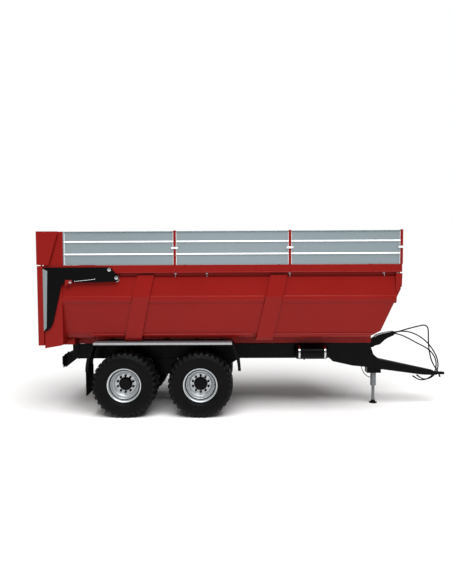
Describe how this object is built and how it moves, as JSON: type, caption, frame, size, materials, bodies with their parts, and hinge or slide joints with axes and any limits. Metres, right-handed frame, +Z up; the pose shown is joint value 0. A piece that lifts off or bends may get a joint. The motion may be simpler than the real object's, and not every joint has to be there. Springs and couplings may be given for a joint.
{
  "type": "grain cart",
  "caption": "Tandem-axle tipping grain cart: steel tub with aluminium side boards, hydraulic tailgate, telescopic ram, rocking spring bogie and drawbar jack.",
  "frame": {"origin": "on the ground below the middle of the whole length and width", "axes": "+X forwards to the towing eye, +Y to the left-hand side, +Z up"},
  "size_m": [8.651, 2.55, 3.795],
  "materials": {
    "red_paint": "gloss",
    "black_paint": "satin",
    "grey_paint": "satin",
    "aluminium": "satin",
    "bright_steel": "brushed",
    "galvanised": "satin",
    "black_rubber": "matte",
    "lamp_red": "gloss",
    "tyre_rubber": "matte",
    "rim_silver": "satin"
  },
  "bodies": {
    "chassis": {"chassis_rails": "black_paint", "chassis_crossmembers": "black_paint", "neck_box": "black_paint", "drawbar": "black_paint", "jack_housing": "grey_paint", "air_reservoir": "black_paint", "reservoir_straps": "bright_steel", "rear_light_bar": "black_paint", "tail_lamps": "lamp_red", "mudguards": "galvanised", "mudguard_ends": "black_rubber", "hose_carrier": "black_paint", "bogie_hangers": "black_paint", "ram_cradle": "black_paint", "hose_upper": "black_rubber", "hose_middle": "black_rubber", "hose_lower": "black_rubber", "hose_couplers": "bright_steel", "jack_hose": "black_rubber"},
    "towing_eye": {"towing_eye": "black_paint"},
    "jack_leg": {"jack_leg": "grey_paint"},
    "bogie": {"leaf_springs": "black_paint", "spring_saddles": "black_paint", "axle_beams": "black_paint"},
    "wheel_front_left": {"tyre_front_left": "tyre_rubber", "wheel_rim_front_left": "rim_silver", "wheel_hub_front_left": "black_paint"},
    "wheel_front_right": {"tyre_front_right": "tyre_rubber", "wheel_rim_front_right": "rim_silver", "wheel_hub_front_right": "black_paint"},
    "wheel_rear_left": {"tyre_rear_left": "tyre_rubber", "wheel_rim_rear_left": "rim_silver", "wheel_hub_rear_left": "black_paint"},
    "wheel_rear_right": {"tyre_rear_right": "tyre_rubber", "wheel_rim_rear_right": "rim_silver", "wheel_hub_rear_right": "black_paint"},
    "ram_barrel": {"ram_barrel": "black_paint"},
    "ram_stage_1": {"ram_stage_1": "bright_steel"},
    "ram_stage_2": {"ram_stage_2": "bright_steel"},
    "ram_stage_3": {"ram_stage_3": "bright_steel"},
    "ram_stage_4": {"ram_stage_4": "bright_steel"},
    "tub": {"tub_shell": "red_paint", "tub_beams": "red_paint", "top_rail": "red_paint", "side_ribs": "red_paint", "rear_frame": "red_paint", "side_boards_left": "aluminium", "side_boards_right": "aluminium", "front_board": "aluminium", "board_posts": "red_paint", "board_clamps": "bright_steel", "pivot_pins": "black_paint", "tailgate_cylinder_rods": "bright_steel"},
    "tailgate": {"tailgate_panel": "red_paint", "tailgate_arms": "black_paint", "tailgate_extension": "red_paint", "hatch_guides": "red_paint"},
    "tailgate_cylinders": {"tailgate_cylinders": "bright_steel"},
    "hatch_gate": {"hatch_gate": "red_paint"}
  },
  "joints": [
    {"name": "body_tip", "type": "hinge", "parent": "chassis", "child": "tub", "pos_m": [-3.7765, 0, 1.475], "axis": [0, -1, 0], "range_deg": [0, 50]},
    {"name": "ram_swing", "type": "hinge", "parent": "chassis", "child": "ram_barrel", "pos_m": [-0.5965, 0, 0.95], "axis": [0, -1, 0], "range_deg": [0, 25]},
    {"name": "ram_extend_1", "type": "slide", "parent": "ram_barrel", "child": "ram_stage_1", "axis": [0.0779, 0, 0.997], "range_m": [0, 0.66564]},
    {"name": "ram_extend_2", "type": "slide", "parent": "ram_stage_1", "child": "ram_stage_2", "axis": [0.0779, 0, 0.997], "range_m": [0, 0.66564]},
    {"name": "ram_extend_3", "type": "slide", "parent": "ram_stage_2", "child": "ram_stage_3", "axis": [0.0779, 0, 0.997], "range_m": [0, 0.66564]},
    {"name": "ram_extend_4", "type": "slide", "parent": "ram_stage_3", "child": "ram_stage_4", "axis": [0.0779, 0, 0.997], "range_m": [0, 0.66564]},
    {"name": "tailgate_open", "type": "hinge", "parent": "tub", "child": "tailgate", "pos_m": [-2.8685, 0, 3.021], "axis": [0, 1, 0], "range_deg": [0, 75]},
    {"name": "tailgate_cylinder_retract", "type": "slide", "parent": "tub", "child": "tailgate_cylinders", "axis": [-0.9953, 0, -0.0966], "range_m": [0, 0.26214]},
    {"name": "hatch_lift", "type": "slide", "parent": "tailgate", "child": "hatch_gate", "axis": [0, 0, 1], "range_m": [0, 0.35]},
    {"name": "bogie_rock", "type": "hinge", "parent": "chassis", "child": "bogie", "pos_m": [-1.8465, 0, 0.96], "axis": [0, 1, 0], "range_deg": [-6, 6]},
    {"name": "wheel_spin_front_left", "type": "hinge", "parent": "bogie", "child": "wheel_front_left", "pos_m": [-1.0715, 0.95, 0.667], "axis": [0, 1, 0], "continuous": true},
    {"name": "wheel_spin_front_right", "type": "hinge", "parent": "bogie", "child": "wheel_front_right", "pos_m": [-1.0715, -0.95, 0.667], "axis": [0, 1, 0], "continuous": true},
    {"name": "wheel_spin_rear_left", "type": "hinge", "parent": "bogie", "child": "wheel_rear_left", "pos_m": [-2.6215, 0.95, 0.667], "axis": [0, 1, 0], "continuous": true},
    {"name": "wheel_spin_rear_right", "type": "hinge", "parent": "bogie", "child": "wheel_rear_right", "pos_m": [-2.6215, -0.95, 0.667], "axis": [0, 1, 0], "continuous": true},
    {"name": "jack_retract", "type": "slide", "parent": "chassis", "child": "jack_leg", "axis": [0, 0, 1], "range_m": [0, 0.32]},
    {"name": "towing_eye_swivel", "type": "hinge", "parent": "chassis", "child": "towing_eye", "pos_m": [4.2655, 0, 0.667], "axis": [1, 0, 0], "continuous": true}
  ],
  "couplings": [
    {"joint": "ram_swing", "follows": "body_tip", "ratio": 0.5},
    {"joint": "ram_extend_1", "follows": "body_tip", "m_per_rad": 0.76277},
    {"joint": "ram_extend_2", "follows": "body_tip", "m_per_rad": 0.76277},
    {"joint": "ram_extend_3", "follows": "body_tip", "m_per_rad": 0.76277},
    {"joint": "ram_extend_4", "follows": "body_tip", "m_per_rad": 0.76277},
    {"joint": "tailgate_cylinder_retract", "follows": "tailgate_open", "m_per_rad": 0.20026}
  ]
}
